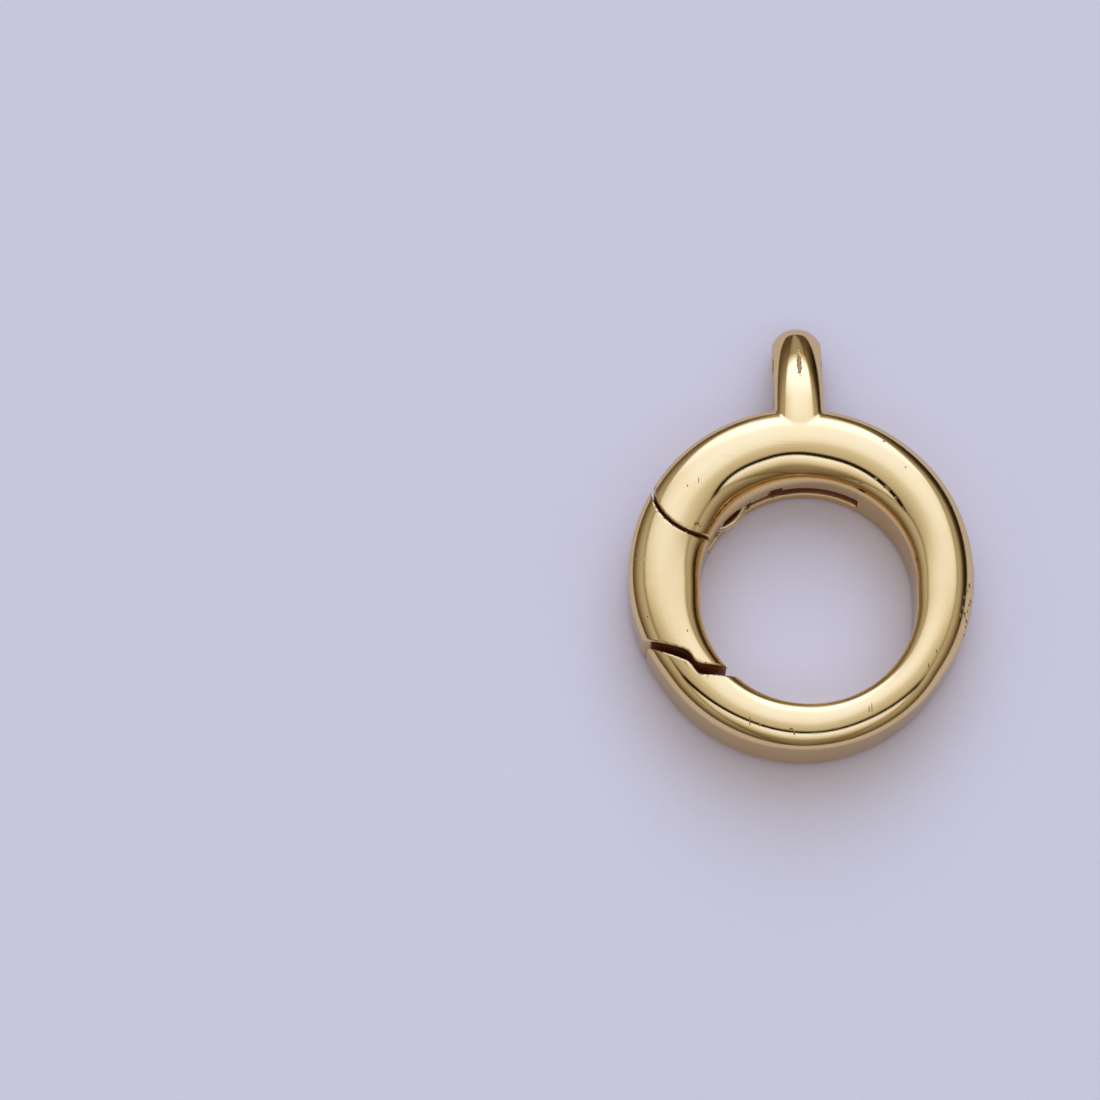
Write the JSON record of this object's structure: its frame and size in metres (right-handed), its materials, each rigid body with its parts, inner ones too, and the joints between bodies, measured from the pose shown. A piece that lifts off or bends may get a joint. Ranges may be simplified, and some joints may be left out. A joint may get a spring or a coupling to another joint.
{
  "type": "triggerless push clasp",
  "caption": "Round triggerless push clasp: a thick polished ring with a cast bail, and an inward-swinging spring gate with a stepped end",
  "frame": {"origin": "middle of the clasp's outline at the level of its flat back face", "axes": "+X to the right seen from the front, +Y along the length towards the bail, +Z from the back face to the front face and along the hinge pin"},
  "size_m": [0.016, 0.021, 0.004],
  "materials": {
    "plated_casting": "polished gold-coloured plating",
    "plated_gate": "polished gold-coloured plating",
    "pin_metal": "plated, flush with the back face",
    "spring_wire": "plated spring wire"
  },
  "bodies": {
    "frame": {"ring_body": "plated_casting", "hinge_pin": "pin_metal", "torsion_spring": "spring_wire"},
    "gate": {"gate": "plated_gate"}
  },
  "joints": [
    {"name": "gate_hinge", "type": "hinge", "parent": "frame", "child": "gate", "pos_m": [-0.0039, 0.00207, 0.002], "axis": [0, 0, 1], "range_deg": [0, 22], "stiffness_Nm_per_rad": 0.002, "springref_deg": -28.65, "deforming": ["torsion_spring"]}
  ]
}
